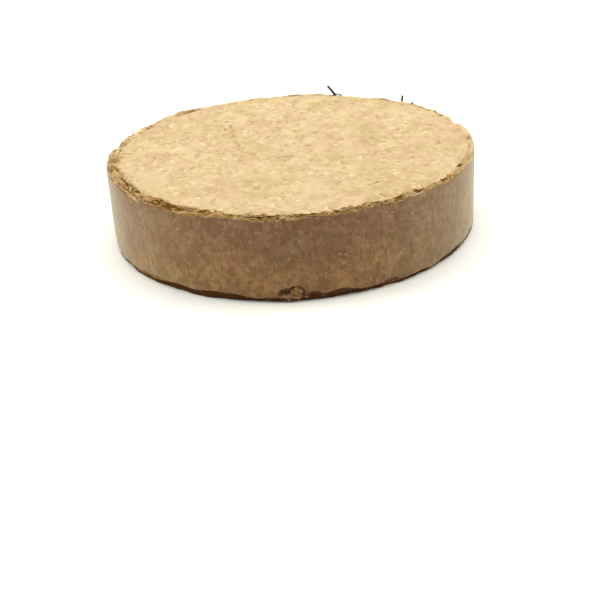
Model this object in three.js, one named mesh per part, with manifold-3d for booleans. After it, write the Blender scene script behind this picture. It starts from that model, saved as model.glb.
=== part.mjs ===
// A disc of compressed coconut coir: husk pith and short fibres pressed into a cake in a round die.
// Millimetres, +Z up. The origin is the centre of the face that the disc rests on.
// A bearing is in degrees round the disc, from the front (-Y) towards the right (+X).

import * as THREE from "three";
import { mergeVertices } from "three/addons/utils/BufferGeometryUtils.js";
import Module from "manifold-3d";

// Driving dimensions of the cake.
const DISC_RADIUS = 50;
const DISC_HEIGHT = 22;
const STEPS_ROUND = 200;

// The punch is smaller than the die and a little off its middle, so the pressed face ends short of the wall,
// with a loose border outside it that is widest at the front left.
const FACE_RADIUS = 48.3;
const FACE_SHIFT = { bearing: 155, distance: 0.7 };
const FACE_INNER_RADIUS = 44.8;
const BORDER_LEAST_WIDTH = 0.95;
const CREST_INSET = 0.5;
const BORDER_RISE = 0.05;
const CRACK_DEPTH = 1.3;
const CRACK_LEAST_WIDTH = 0.12;
const WALL_WANDER = 0.28;
const FACE_EDGE_WANDER = 0.35;
const CREST_RAGGEDNESS = 0.34;

// Below this height the wall has crumbled back a little all round, and higher up in one stretch of the foot.
const FOOT_HEIGHT = 1.1;
const FOOT_RAGGEDNESS = 0.35;
const FOOT_RECESS = 0.6;
const HIGH_FOOT = [{ bearing: 322, spread: 34, rise: 0.7 }];

// Where the border stands up from the face, and where it has broken away. A spread is the half width in degrees.
const RAISED_BORDER = [
  { bearing: 222, spread: 17, rise: 0.5 },
  { bearing: 268, spread: 8, rise: 0.7 },
  { bearing: 288, spread: 16, rise: 0.7 },
  { bearing: 94, spread: 9, rise: 0.45 },
  { bearing: 178, spread: 6, rise: 0.25 },
];
const BROKEN_BORDER = [
  { bearing: 107, spread: 4, loss: 1.5 },
  { bearing: 154, spread: 9, loss: 1.1 },
  { bearing: 308, spread: 3, loss: 0.9 },
  { bearing: 258, spread: 4, loss: 0.8 },
  { bearing: 350, spread: 22, loss: 0.45 },
  { bearing: 322, spread: 14, loss: 0.8 },
];

// Where the crack between the face and its border is open, and how far it pushes the face's edge inwards.
const OPEN_CRACKS = [
  { bearing: 270, spread: 11, width: 0.7, inward: 0.5 },
  { bearing: 283, spread: 13, width: 0.5, inward: 1.0 },
  { bearing: 296, spread: 14, width: 1.2, inward: 1.6 },
  { bearing: 309, spread: 12, width: 0.4, inward: 1.0 },
  { bearing: 319, spread: 11, width: 1.1, inward: 1.0 },
  { bearing: 331, spread: 12, width: 0.5, inward: 1.2 },
  { bearing: 355, spread: 13, width: 0.9, inward: 0 },
  { bearing: 18, spread: 8, width: 0.3, inward: 0.3 },
  { bearing: 31, spread: 13, width: 0.7, inward: 0.9 },
  { bearing: 45, spread: 6, width: 0.6, inward: 0.2 },
  { bearing: 57, spread: 4, width: 0.5, inward: 0.1 },
  { bearing: 68, spread: 6, width: 0.7, inward: 0.3 },
  { bearing: 91, spread: 10, width: 0.5, inward: 0.3 },
  { bearing: 135, spread: 9, width: 0.4, inward: 0.1 },
  { bearing: 222, spread: 14, width: 0.5, inward: 0.2 },
];

// Places where the lower edge has crumbled: size is along the edge, up the wall and into the cake.
const CHIPS = [
  { bearing: 358.4, height: 2.1, size: [3.7, 2.2, 1.5] },
  { bearing: 4.4, height: 1.6, size: [2.6, 0.9, 1.4] },
  { bearing: 27, height: 0.3, size: [2.9, 2.1, 1.1] },
  { bearing: 117, height: 0.1, size: [2.8, 1.6, 1.1] },
  { bearing: 203, height: 0.2, size: [3.4, 2.0, 1.2] },
  { bearing: 262, height: 0, size: [2.4, 1.5, 1.0] },
];
const CHIP_ROUGHNESS = 0.22;
// The crumbs that still sit in the front chip, inside the arch of its crack.
const LOOSE_CRUMBS = [
  { bearing: 359.3, height: 2.8, size: [1.6, 1.05, 1.5] },
  { bearing: 357.4, height: 1.25, size: [3.6, 0.95, 1.9] },
];
const CRUMB_PROUD = 0.1;

// Flattened husk flakes that lie pressed into the upper face.
const FLAKE_COUNT = 44;
const FLAKE_FIELD_RADIUS = 43;
const FLAKE_LENGTH = [3.5, 7.5];
const FLAKE_WIDTH = [0.8, 1.6];
const FLAKE_RELIEF = 0.22;
const FLAKE_ROOT = 0.5;
const FLAKE_TILT = 2.4;
const FLAKE_GAP = 1.2;

// Single fibres that stand out of the rim: their middle lines, thick at the root.
const FIBRE_SIDES = 6;
const FIBRE_STEPS = 5;
const STRAY_FIBRES = [
  { radius: 0.2, line: [[17.4, 45.6, 20.6], [16.8, 46.8, 22.0], [14.8, 47.3, 22.9], [13.0, 47.4, 24.9]] },
  { radius: 0.17, line: [[34.2, 35.0, 20.6], [34.9, 36.0, 21.8], [35.2, 36.5, 23.6]] },
  { radius: 0.15, line: [[-44.6, 20.2, 20.8], [-45.4, 20.9, 22.2], [-44.9, 22.0, 23.2]] },
];

// A repeatable number from 0 to 1 for a count and a stream.
function chance(count, stream) {
  const wave = Math.sin(count * 12.9898 + stream * 78.233) * 43758.5453;
  return wave - Math.floor(wave);
}

function between([low, high], share) {
  return low + (high - low) * share;
}

// The angle from one bearing to another, from 0 to 180 degrees.
function apart(a, b) {
  return Math.abs(((a - b + 540) % 360) - 180);
}

// A smooth hump: 1 at the place's own bearing, 0 past its spread.
function hump(bearing, place) {
  const share = Math.min(1, apart(bearing, place.bearing) / place.spread);
  return (1 + Math.cos(Math.PI * share)) / 2;
}

function sumOf(places, field, bearing) {
  return places.reduce((sum, place) => sum + place[field] * hump(bearing, place), 0);
}

// Smooth noise round the disc from -1 to 1, with a given count of waves.
function wander(bearing, waves, stream) {
  const at = (bearing / 360) * waves;
  const cell = Math.floor(at);
  const ease = THREE.MathUtils.smoothstep(at - cell, 0, 1);
  const here = chance(cell % waves, stream);
  const next = chance((cell + 1) % waves, stream);
  return 2 * (here + (next - here) * ease) - 1;
}

function crackWidth(bearing) {
  const widths = OPEN_CRACKS.map((place) => place.width * Math.sqrt(hump(bearing, place)));
  return Math.max(CRACK_LEAST_WIDTH, Math.max(...widths) * (0.85 + 0.35 * wander(bearing, 50, 5)));
}

// A narrow crack is a shallow one too.
function crackFloor(bearing) {
  return DISC_HEIGHT - CRACK_DEPTH * Math.min(1, 0.1 + 1.4 * crackWidth(bearing));
}

function footHeight(bearing) {
  return FOOT_HEIGHT + sumOf(HIGH_FOOT, "rise", bearing) + FOOT_RAGGEDNESS * wander(bearing, 58, 7);
}

function wallRadius(bearing) {
  return DISC_RADIUS + WALL_WANDER * (0.6 * wander(bearing, 9, 1) + 0.4 * wander(bearing, 40, 2));
}

function faceEdge(bearing) {
  const shift = FACE_SHIFT.distance * Math.cos(THREE.MathUtils.degToRad(bearing - FACE_SHIFT.bearing));
  const edge = FACE_RADIUS + shift - sumOf(OPEN_CRACKS, "inward", bearing);
  const ragged = FACE_EDGE_WANDER * wander(bearing, 34, 3);
  return Math.min(edge + ragged, wallRadius(bearing) - BORDER_LEAST_WIDTH);
}

// The border's inner edge, which ends short of its crest.
function borderEdge(bearing) {
  return Math.min(faceEdge(bearing) + 0.15 + crackWidth(bearing), wallRadius(bearing) - CREST_INSET - 0.1);
}

function crestHeight(bearing) {
  const ragged = CREST_RAGGEDNESS * (0.65 * wander(bearing, 96, 4) + 0.35 * wander(bearing, 37, 10));
  const rise = BORDER_RISE + sumOf(RAISED_BORDER, "rise", bearing) + ragged;
  return DISC_HEIGHT + rise - sumOf(BROKEN_BORDER, "loss", bearing);
}

// One row of the profile is a function of the bearing that gives [radius, height], from the base up to the face.
const PROFILE = [
  () => [0, 0],
  () => [DISC_RADIUS - 3.4, 0],
  (b) => [wallRadius(b) - FOOT_RECESS * (1.1 - 0.5 * wander(b, 52, 6)), 0.12],
  (b) => [wallRadius(b) - 0.1, footHeight(b)],
  (b) => [wallRadius(b), 4],
  (b) => [wallRadius(b) + 0.1 * wander(b, 24, 8), 9.5],
  (b) => [wallRadius(b) + 0.1 * wander(b, 22, 9), 15],
  (b) => [wallRadius(b), 19.6],
  (b) => [wallRadius(b) - 0.1, crestHeight(b) - 0.35],
  (b) => [wallRadius(b) - CREST_INSET, crestHeight(b)],
  (b) => [borderEdge(b), crestHeight(b) - 0.1],
  (b) => [faceEdge(b) + 0.1 + 0.4 * crackWidth(b), crackFloor(b)],
  (b) => [faceEdge(b), DISC_HEIGHT - 0.1],
  () => [FACE_INNER_RADIUS, DISC_HEIGHT],
  () => [0, DISC_HEIGHT],
];

const wasm = await Module();
wasm.setup();

// A closed geometry as a solid that can be joined and cut.
function solidOf(geometry) {
  const bare = geometry.clone();
  bare.deleteAttribute("normal");
  bare.deleteAttribute("uv");
  const merged = mergeVertices(bare, 1e-4);
  return new wasm.Manifold(
    new wasm.Mesh({
      numProp: 3,
      vertProperties: merged.attributes.position.array,
      triVerts: new Uint32Array(merged.index.array),
    }),
  );
}

function geometryOf(solid) {
  const mesh = solid.getMesh();
  return new THREE.BufferGeometry()
    .setAttribute("position", new THREE.BufferAttribute(mesh.vertProperties, 3))
    .setIndex(new THREE.BufferAttribute(mesh.triVerts, 1));
}

function onDisc(bearing, radius, height) {
  const turn = THREE.MathUtils.degToRad(bearing);
  return new THREE.Vector3(radius * Math.sin(turn), -radius * Math.cos(turn), height);
}

// The pressed cake: a lathe of the profile at bearing 0, each point then set to the profile at its own bearing.
function pressedCake() {
  const outline = PROFILE.map((row) => new THREE.Vector2(...row(0)));
  const cake = new THREE.LatheGeometry(outline, STEPS_ROUND);
  const points = cake.attributes.position;
  for (let i = 0; i < points.count; i += 1) {
    const column = Math.floor(i / PROFILE.length) % STEPS_ROUND;
    const bearing = (360 * column) / STEPS_ROUND;
    const [radius, height] = PROFILE[i % PROFILE.length](bearing);
    points.setXYZ(i, ...onDisc(bearing, radius, height).toArray());
  }
  return cake;
}

// An uneven lump of the given half sizes, centred on the wall at a bearing and height.
function lump({ bearing, height, size }, inset, stream) {
  const shape = new THREE.IcosahedronGeometry(1, 1);
  shape.deleteAttribute("normal");
  shape.deleteAttribute("uv");
  const ball = mergeVertices(shape, 1e-4);
  const points = ball.attributes.position;
  const point = new THREE.Vector3();
  for (let i = 0; i < points.count; i += 1) {
    point.fromBufferAttribute(points, i);
    point.multiplyScalar(1 + CHIP_ROUGHNESS * (2 * chance(i, stream) - 1));
    points.setXYZ(i, ...point.toArray());
  }
  const [along, tall, deep] = size;
  return ball
    .scale(along, deep, tall)
    .rotateZ(THREE.MathUtils.degToRad(bearing))
    .translate(...onDisc(bearing, DISC_RADIUS - inset, height).toArray());
}

// Flakes that lie clear of each other, each with its place, turn and size.
function flakePlaces() {
  const places = [];
  for (let i = 0; places.length < FLAKE_COUNT; i += 1) {
    const place = {
      centre: onDisc(360 * chance(i, 11), FLAKE_FIELD_RADIUS * Math.sqrt(chance(i, 12)), DISC_HEIGHT),
      turn: Math.PI * chance(i, 13),
      length: between(FLAKE_LENGTH, chance(i, 14)),
      width: between(FLAKE_WIDTH, chance(i, 15)),
      tilt: FLAKE_TILT * (2 * chance(i, 16) - 1),
    };
    const clear = (other) => {
      return place.centre.distanceTo(other.centre) > (place.length + other.length) / 2 + FLAKE_GAP;
    };
    if (places.every(clear)) places.push(place);
  }
  return places;
}

// A flat flake with pointed ends, rooted in the face and a little tilted.
function flake({ centre, turn, length, width, tilt }) {
  const outline = new THREE.Shape([
    new THREE.Vector2(-length / 2, 0),
    new THREE.Vector2(-length / 5, -width / 2),
    new THREE.Vector2(length / 3, -width / 2.6),
    new THREE.Vector2(length / 2, 0),
    new THREE.Vector2(length / 6, width / 2),
    new THREE.Vector2(-length / 3, width / 3),
  ]);
  return new THREE.ExtrudeGeometry(outline, { depth: FLAKE_ROOT + FLAKE_RELIEF, bevelEnabled: false })
    .rotateY(THREE.MathUtils.degToRad(tilt))
    .rotateZ(turn)
    .translate(centre.x, centre.y, centre.z - FLAKE_ROOT);
}

function strayFibre({ radius, line }) {
  const section = new THREE.Shape();
  for (let i = 0; i < FIBRE_SIDES; i += 1) {
    const turn = (2 * Math.PI * i) / FIBRE_SIDES;
    const corner = [radius * Math.cos(turn), radius * Math.sin(turn)];
    if (i === 0) section.moveTo(...corner);
    else section.lineTo(...corner);
  }
  const path = new THREE.CatmullRomCurve3(line.map((point) => new THREE.Vector3(...point)));
  return new THREE.ExtrudeGeometry(section, { steps: FIBRE_STEPS, extrudePath: path });
}

function coirDisc() {
  let cake = solidOf(pressedCake());
  CHIPS.forEach((chip, i) => {
    cake = cake.subtract(solidOf(lump(chip, 0, 20 + i)));
  });
  LOOSE_CRUMBS.forEach((crumb, i) => {
    cake = cake.add(solidOf(lump(crumb, crumb.size[2] - CRUMB_PROUD, 40 + i)));
  });
  for (const place of flakePlaces()) {
    cake = cake.add(solidOf(flake(place)));
  }
  for (const fibre of STRAY_FIBRES) {
    cake = cake.add(solidOf(strayFibre(fibre)));
  }
  return geometryOf(cake);
}

const coir = new THREE.MeshStandardMaterial({ color: 0xb48a5c, roughness: 0.9, metalness: 0, flatShading: true });

const disc = new THREE.Mesh(coirDisc(), coir);
disc.name = "coir_disc";

const part = new THREE.Group();
part.add(disc);

export default part;
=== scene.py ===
import math
from itertools import product

import bpy
import numpy as np
from mathutils import Matrix, Vector


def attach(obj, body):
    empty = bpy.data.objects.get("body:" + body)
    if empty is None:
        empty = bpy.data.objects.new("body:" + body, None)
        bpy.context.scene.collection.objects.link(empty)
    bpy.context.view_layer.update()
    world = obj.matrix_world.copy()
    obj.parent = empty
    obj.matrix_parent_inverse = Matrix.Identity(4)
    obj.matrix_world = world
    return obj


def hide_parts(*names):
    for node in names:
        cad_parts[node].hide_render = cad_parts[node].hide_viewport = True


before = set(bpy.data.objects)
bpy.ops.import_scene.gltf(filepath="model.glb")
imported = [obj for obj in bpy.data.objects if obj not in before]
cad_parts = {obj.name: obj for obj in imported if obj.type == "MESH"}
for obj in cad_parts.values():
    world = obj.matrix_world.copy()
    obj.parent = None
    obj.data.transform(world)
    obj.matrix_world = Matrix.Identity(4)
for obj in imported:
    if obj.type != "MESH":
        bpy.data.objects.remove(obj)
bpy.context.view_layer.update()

MM = 0.001
BODY = "root"

# The cake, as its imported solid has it.
DISC_RADIUS = 50 * MM
DISC_HEIGHT = 22 * MM
FACE_RADIUS = 48.3 * MM
FACE_SHIFT_BEARING = 155
FACE_SHIFT = 0.7 * MM
FACE_INNER_RADIUS = 44.8 * MM
BORDER_LEAST_WIDTH = 0.95 * MM
CREST_INSET = 0.5 * MM
BORDER_RISE = 0.05 * MM
CRACK_DEPTH = 1.3 * MM
CRACK_LEAST_WIDTH = 0.12 * MM
CRACK_FILL = 1.1 * MM
WALL_WANDER = 0.28 * MM
FACE_EDGE_WANDER = 0.35 * MM
CREST_RAGGEDNESS = 0.34 * MM
FOOT_HEIGHT = 1.1 * MM
FOOT_RAGGEDNESS = 0.35 * MM
FOOT_RECESS = 0.6 * MM

# The outline between those: the lower face and its edge, the rows of the wall, how far the crest falls off to
# the wall, the lips of the crack, how far the border and the loose flakes keep away from the face, and the
# lowest that any of it is.
BASE_LEVEL = 0.12 * MM
BASE_INNER_RADIUS = DISC_RADIUS - 3.4 * MM
BASE_EDGE_RISE = 0.05 * MM
WALL_LEVELS = (4 * MM, 9.5 * MM, 15 * MM, 19.6 * MM)
WALL_UNEVENNESS = 0.1 * MM
CREST_FALL = 0.35 * MM
LIP = 0.1 * MM
CRACK_CLEARANCE = 0.15 * MM
LOWEST_LEVEL = 0.05 * MM

# The surface's relief: the sizes of its lumps, along the rim, inwards and upwards where they differ.
GRAIN_SIZE = 0.9 * MM
LUMP_SIZE = 2.6 * MM
STREAK_SIZE = (0.7 * MM, 4 * MM, 3.2 * MM)
LAYER_SIZE = (2.6 * MM, 0.45 * MM, 0.5 * MM)
SPLIT_SIZE = (3.4 * MM, 0.6 * MM, 0.8 * MM)
CRUMB_SIZE = 0.8 * MM
# And their heights in mm.
WALL_LUMPS, WALL_GRAIN, WALL_STREAKS = 0.008, 0.006, 0.006
BORDER_LAYERS, BORDER_GRAIN, BORDER_SPLITS = 0.2, 0.12, 0.25
FOOT_GRAIN, FOOT_LUMPS = 0.14, 0.12
FACE_LUMPS, FACE_GRAIN = 0.04, 0.03
CRACK_GRAIN = 0.06

# Finer raggedness of edges than the solid has.
FACE_EDGE_FRAY = 0.22 * MM
CREST_FRAY = 0.2 * MM
FOOT_FRAY = 0.25 * MM

# Where the border stands up from the face: bearing, half width in degrees, rise in mm.
RAISED_BORDER = ((222, 17, 0.5), (268, 8, 0.7), (288, 16, 0.7), (94, 9, 0.45), (178, 6, 0.25))
# Where the border has broken away: bearing, half width in degrees, loss in mm.
BROKEN_BORDER = (
    (107, 4, 1.5), (154, 9, 1.1), (308, 3, 0.9), (258, 4, 0.8), (350, 22, 0.45), (322, 14, 0.8),
)
# Where the crack between face and border is open: bearing, half width in degrees, width and push inwards in
# mm.
OPEN_CRACKS = (
    (270, 11, 0.7, 0.5), (283, 13, 0.5, 1.0), (296, 14, 1.2, 1.6), (309, 12, 0.4, 1.0), (319, 11, 1.1, 1.0),
    (331, 12, 0.5, 1.2), (355, 13, 0.9, 0.0), (18, 8, 0.3, 0.3), (31, 13, 0.7, 0.9), (45, 6, 0.6, 0.2),
    (57, 4, 0.5, 0.1), (68, 6, 0.7, 0.3), (91, 10, 0.5, 0.3), (135, 9, 0.4, 0.1), (222, 14, 0.5, 0.2),
)
# Where the wall has crumbled higher up than elsewhere: bearing, half width in degrees, rise in mm.
HIGH_FOOT = ((322, 34, 0.7),)
# How much further the dark foot, with its painted contact shadow, reaches up the wall: bearing, half width in
# degrees, rise in mm.
HIGH_FOOT_SHADOW = ((310, 14, -1.1), (338, 20, 0.3), (11, 10, 0.9), (60, 22, 0.8))
# Crumbled places at the lower edge: bearing, then in mm the height and the half sizes along the edge, up the
# wall and inwards.
CHIPS = (
    (358.4, 2.1, 3.7, 2.2, 1.5), (4.4, 1.6, 2.6, 0.9, 1.4), (27, 0.3, 2.9, 2.1, 1.1),
    (117, 0.1, 2.8, 1.6, 1.1), (203, 0.2, 3.4, 2.0, 1.2), (262, 0.0, 2.4, 1.5, 1.0),
)
# The crumbs that still sit in the front chip: bearing, then in mm the height and the half sizes along the
# edge and up the wall.
LOOSE_CRUMBS = ((359.3, 2.8, 1.6, 1.05), (357.4, 1.25, 3.6, 0.95))
CRUMB_PROUD = 0.1 * MM

# How much further out the punched face's edge lies: bearing, half width in degrees, reach in mm.
FACE_REACH = (
    (272.5, 4, -0.5), (285, 8, 0.5), (291.5, 5, 0.65), (307, 5, 0.5), (315.5, 5, -0.5), (334.5, 3.5, -0.3),
    (338.5, 3, 0.3), (350, 6, 0.35), (358.5, 4, 0.35), (8, 17, 0.55), (15, 6, 0.3), (26.5, 3, 0.4),
    (30, 6, 0.45), (62.8, 2.5, -0.4),
)

# How far loose flakes bridge the crack: bearing, half width in degrees, share.
BRIDGED_CRACK = (
    (275, 12, 0.8), (287, 6, 1.0), (299, 2, 0.8), (309, 6, 1.0), (328.5, 4, 1.0), (338, 4, 0.8),
    (347, 1.5, 0.8), (351.5, 1.2, 0.7), (358, 2.5, 1.0), (8, 5, 0.6), (18, 10, 0.6), (35, 3, 0.6),
    (46, 4, 0.6), (297, 9, 0.8),
)
# Where the crack has the most painted shade, over its own brown: bearing, half width in degrees, share.
DARKEST_CRACK_SHADE = (
    (272, 4, 0.5), (281, 3, 0.5), (296, 3, 0.3), (314.5, 4.5, 1.0), (321, 4, 0.9), (332, 2.2, 0.8),
    (335.7, 1.5, 0.7), (341, 2.4, 0.6), (345, 2, 0.6), (349.5, 2.6, 0.8), (354.4, 3, 1.0), (2.4, 2.6, 0.9),
    (13.5, 1.6, 0.6), (23.8, 2.2, 0.9), (38.6, 1.8, 1.0), (41.5, 1.2, 0.7), (50.7, 1.8, 1.0),
    (62.8, 2.4, 1.0), (88, 2, 0.4),
)
# Where the border is in loose layers, where it is ruddy and where it is as fair as the face, partly by its
# own colour and partly by painted light on its steep side, which stands in shade: bearing, half width in
# degrees, share.
FLAKY_BORDER = ((286, 30, 1.0), (66, 14, 1.0), (30, 8, 1.0))
RUDDY_BORDER = ((297, 5, 0.5), (81, 15, 0.3), (128, 6, 0.6), (143, 8, 0.6), (220, 5, 0.6), (236, 7, 0.6))
FAIR_AND_LIT_BORDER = (
    (130, 40, 1.0), (170, 40, 1.0), (210, 40, 1.0), (245, 34, 1.0), (278, 26, 0.7), (288, 14, 0.9),
    (309, 6, 0.5), (37, 5, 0.4), (46, 8, 0.2), (64, 10, 0.3), (88, 24, 0.9),
)
# Where the rim is sound, with hardly a crack or a loose fibre: bearing, half width in degrees, share.
SOUND_RIM = ((180, 100, 1.0), (84, 46, 1.0), (274, 16, 0.6), (311, 5, 0.5), (47, 9, 1.0))
# Where the border is browner: bearing, half width in degrees, share.
DULL_BORDER = (
    (281.5, 3, 0.8), (290.5, 2, 0.5), (297, 2.5, 0.8), (318.5, 5, 1.0), (326, 5, 0.4), (334, 3, 0.8),
    (341, 2, 0.8), (353.5, 4, 1.0), (5, 7, 1.0), (15, 9, 0.8), (25, 4, 0.8), (30, 5, 0.4), (41.5, 3, 0.8),
    (46, 9, 0.4), (51, 3, 0.8), (88, 1.6, 0.5), (118.3, 1, 1.0), (125.6, 1.4, 1.0), (131, 1, 1.0),
    (142, 4, 1.0), (216.5, 4.5, 1.0), (235, 4.5, 1.0),
)
# Where the wall's brown skin runs up over the border: bearing, half width in degrees, share.
HIGH_SKIN = ((300, 6, 0.4), (318, 13, 1.0), (344, 5, 0.4))
# Where the border's loose fibres hang over the wall's head: bearing, half width in degrees, share.
LOW_BORDER = ((300, 9, 0.6), (327, 5, 0.5), (23, 3, 0.6), (64, 12, 1.0))

# How finely the cake is meshed: columns round it, which are more crowded in two places (bearing, half width
# in degrees, share more), and lines between each two rows of its outline.
COLUMNS = 760
COLUMN_CROWDING = ((359, 9, 1.6), (290, 30, 0.6))
LINES_PER_SPAN = (7, 5, 7, 12, 11, 11, 9, 7, 5, 6, 8, 8, 7, 16)

# Single fibres that stand out of the rim: radius, then the points of the middle line, all in mm.
STRAY_FIBRES = (
    (0.5, ((15.8, 46.9, 21.0), (14.4, 47.3, 23.1), (13.0, 47.4, 24.9))),
    (0.22, ((17.4, 46.2, 21.9), (16.2, 46.9, 22.2), (15.0, 47.2, 22.3))),
    (0.4, ((37.2, 32.3, 21.6), (37.9, 32.3, 22.5))),
    (0.45, ((34.2, 35.0, 20.6), (34.9, 36.0, 21.8), (35.2, 36.5, 23.6))),
    (0.15, ((-44.6, 20.2, 20.8), (-45.4, 20.9, 22.2), (-44.9, 22.0, 23.2))),
)
# Single fibres, grains and pale flakes that show in the upper face: half width, then points on it, in mm.
DARK_MARKS = (
    (0.28, ((20.7, -30.4), (21.7, -30.1))), (0.1, ((18.5, -31.9), (20.8, -30.9), (23.2, -29.3))),
    (0.14, ((-19.3, -17.3), (-18.0, -15.7))), (0.14, ((-3.6, 18.5), (-2.2, 16.4))),
    (0.12, ((-11.9, -23.0), (-10.4, -24.7))), (0.13, ((11.7, -28.6), (12.8, -28.1))),
    (0.14, ((34.0, -21.1), (35.5, -19.9))), (0.12, ((-28.0, 9.9), (-27.3, 11.5))),
    (0.15, ((-46.6, 3.2), (-45.4, 3.5), (-43.9, 3.1))), (0.13, ((-42.6, -18.0), (-41.1, -17.9))),
)
PALE_MARKS = (
    (0.5, ((6.0, -28.3), (9.4, -26.1))), (0.4, ((-15.0, 8.2), (-10.5, 9.1))),
    (0.25, ((-7.6, -15.0), (-1.3, -12.3), (1.3, -14.4))),
)
# Brown lines sunk in the wall that paint the shade of its small splits, and pale flakes in the wall: half
# width in mm, then each point's bearing and height in mm.
WALL_SPLIT_SHADES = (
    (0.16, ((-8.9, 0.9), (-6.6, 1.5), (-4.6, 2.7))), (0.13, ((-1.9, 11.3), (-0.4, 10.6), (1.3, 10.5))),
    (0.12, ((4.9, 10.3), (6.4, 10.1), (8.4, 9.7))), (0.09, ((3.2, 9.9), (5.6, 9.6))),
    (0.11, ((8.5, 11.6), (9.6, 11.2), (11.3, 11.6))), (0.1, ((0.2, 13.4), (2.0, 12.6))),
    (0.12, ((29.0, 8.3), (30.4, 8.6))), (0.11, ((28.4, 20.0), (30.3, 19.4))),
)
WALL_FLAKES = (
    (0.28, ((11.4, 11.4), (12.6, 11.7))), (0.24, ((13.2, 11.2), (13.9, 11.7))),
    (0.3, ((11.6, 9.9), (12.3, 10.3))), (0.22, ((12.5, 8.8), (13.6, 9.1))),
    (0.26, ((25.4, 19.9), (26.9, 20.1))), (0.24, ((27.4, 19.5), (28.8, 19.6))),
    (0.24, ((26.2, 18.7), (28.0, 18.9))), (0.3, ((29.4, 7.3), (30.4, 7.7))),
    (0.24, ((30.8, 7.0), (31.3, 7.4))), (0.26, ((-3.9, 20.9), (-3.6, 20.4))),
    (0.22, ((-10.9, 18.5), (-9.4, 18.4))), (0.26, ((-15.0, 15.1), (-14.6, 14.8))),
    (0.34, ((62.9, 7.2), (64.0, 5.2), (65.3, 2.9))),
)

# The camera of the photograph, fitted to the disc's outline.
CAMERA_PLACE = (0.0, -276.6 * MM, 117.6 * MM)
CAMERA_YAW = 0.03
CAMERA_PITCH = 27.31
CAMERA_ROLL = -3.64
CAMERA_LENS = 63.4
CAMERA_SENSOR = 36

# The studio: half the floor's width, its colour, roughness and gloss, the light from all round, and the soft
# lights, each with its place, width, height, power in watts and colour.
FLOOR_REACH = 3.0
FLOOR_COLOUR = (0.93, 0.93, 0.93, 1.0)
FLOOR_ROUGHNESS = 0.9
FLOOR_GLOSS = 0.1
LIGHT_ALL_ROUND = 0.55
WHITE_LIGHT = (1.0, 1.0, 1.0)
SIDE_LIGHT = (1.0, 1.0, 0.78)
SOFTBOXES = (
    ("overhead", (0.0, 0.25, 1.0), 0.9, 0.9, 7, WHITE_LIGHT),
    ("left", (-0.8, 0.1, 0.35), 0.6, 0.5, 6, SIDE_LIGHT),
    ("right", (0.8, 0.1, 0.35), 0.6, 0.5, 6, SIDE_LIGHT),
)


# Numbers that repeat from run to run.


def chance(count, stream):
    """A number from 0 to 1 for each count of a stream, the same as in the part's source."""
    wave = np.sin(count * 12.9898 + stream * 78.233) * 43758.5453
    return wave - np.floor(wave)


def smooth(share):
    share = np.clip(share, 0, 1)
    return share * share * (3 - 2 * share)


def wander(bearing, waves, stream):
    """Smooth noise round the disc from -1 to 1, with a given count of waves."""
    at = bearing / 360 * waves
    cell = np.floor(at)
    here = chance(cell % waves, stream)
    following = chance((cell + 1) % waves, stream)
    return 2 * (here + (following - here) * smooth(at - cell)) - 1


def lumps(points, size, stream):
    """Smooth noise in space from -1 to 1. Size is one length, or one for each direction."""
    at = points / np.asarray(size)
    cell = np.floor(at)
    ease = smooth(at - cell)
    total = np.zeros(points.shape[:-1])
    for corner in product((0, 1), repeat=3):
        weight = np.prod(np.where(corner, ease, 1 - ease), axis=-1)
        total += weight * chance((cell + corner) @ (1.0, 57.3, 113.9), stream)
    return 2 * total - 1


# The form of the cake, as in the part's source.


def apart(bearing, other):
    return np.abs((bearing - other + 540) % 360 - 180)


def hump(bearing, centre, spread):
    return (1 + np.cos(np.pi * np.minimum(1, apart(bearing, centre) / spread))) / 2


def sum_of(places, bearing):
    """The length, in metres, that the humps of a table in mm add up to."""
    return sum(most * MM * hump(bearing, at, spread) for at, spread, most in places)


def stretch(places, bearing):
    """The share that each of these stretches of the rim has in its middle, 0 outside them."""
    return np.max([most * smooth(2 * hump(bearing, at, spread)) for at, spread, most in places], axis=0)


def crack_width(bearing):
    widths = [width * MM * np.sqrt(hump(bearing, at, spread)) for at, spread, width, _ in OPEN_CRACKS]
    return np.maximum(CRACK_LEAST_WIDTH, np.max(widths, axis=0) * (0.85 + 0.35 * wander(bearing, 50, 5)))


def crack_floor(bearing):
    return DISC_HEIGHT - CRACK_DEPTH * np.minimum(1, 0.1 + 1.4 * crack_width(bearing) / MM)


def filled_crack_floor(bearing):
    """The crack's floor with the loose flakes on it, which never reach the face."""
    share = np.maximum(stretch(BRIDGED_CRACK, bearing), stretch(SOUND_RIM, bearing))
    return np.minimum(crack_floor(bearing) + CRACK_FILL * (0.6 + 0.4 * share), DISC_HEIGHT - CRACK_CLEARANCE)


def foot_height(bearing):
    return FOOT_HEIGHT + sum_of(HIGH_FOOT, bearing) + FOOT_RAGGEDNESS * wander(bearing, 58, 7)


def wall_radius(bearing):
    return DISC_RADIUS + WALL_WANDER * (0.6 * wander(bearing, 9, 1) + 0.4 * wander(bearing, 40, 2))


def face_edge(bearing):
    shift = FACE_SHIFT * np.cos(np.radians(bearing - FACE_SHIFT_BEARING))
    inward = sum(push * MM * hump(bearing, at, spread) for at, spread, _, push in OPEN_CRACKS)
    ragged = FACE_EDGE_WANDER * wander(bearing, 34, 3)
    return np.minimum(FACE_RADIUS + shift - inward + ragged, wall_radius(bearing) - BORDER_LEAST_WIDTH)


def crest_height(bearing):
    ragged = CREST_RAGGEDNESS * (0.65 * wander(bearing, 96, 4) + 0.35 * wander(bearing, 37, 10))
    rise = BORDER_RISE + sum_of(RAISED_BORDER, bearing) + ragged
    return DISC_HEIGHT + rise - sum_of(BROKEN_BORDER, bearing)


def fray(bearing, stream):
    """Fine raggedness from -1 to 1 that changes every 0.8 mm and every 1.8 mm."""
    return 0.6 * wander(bearing, 170, stream) + 0.4 * wander(bearing, 390, stream + 1)


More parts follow.
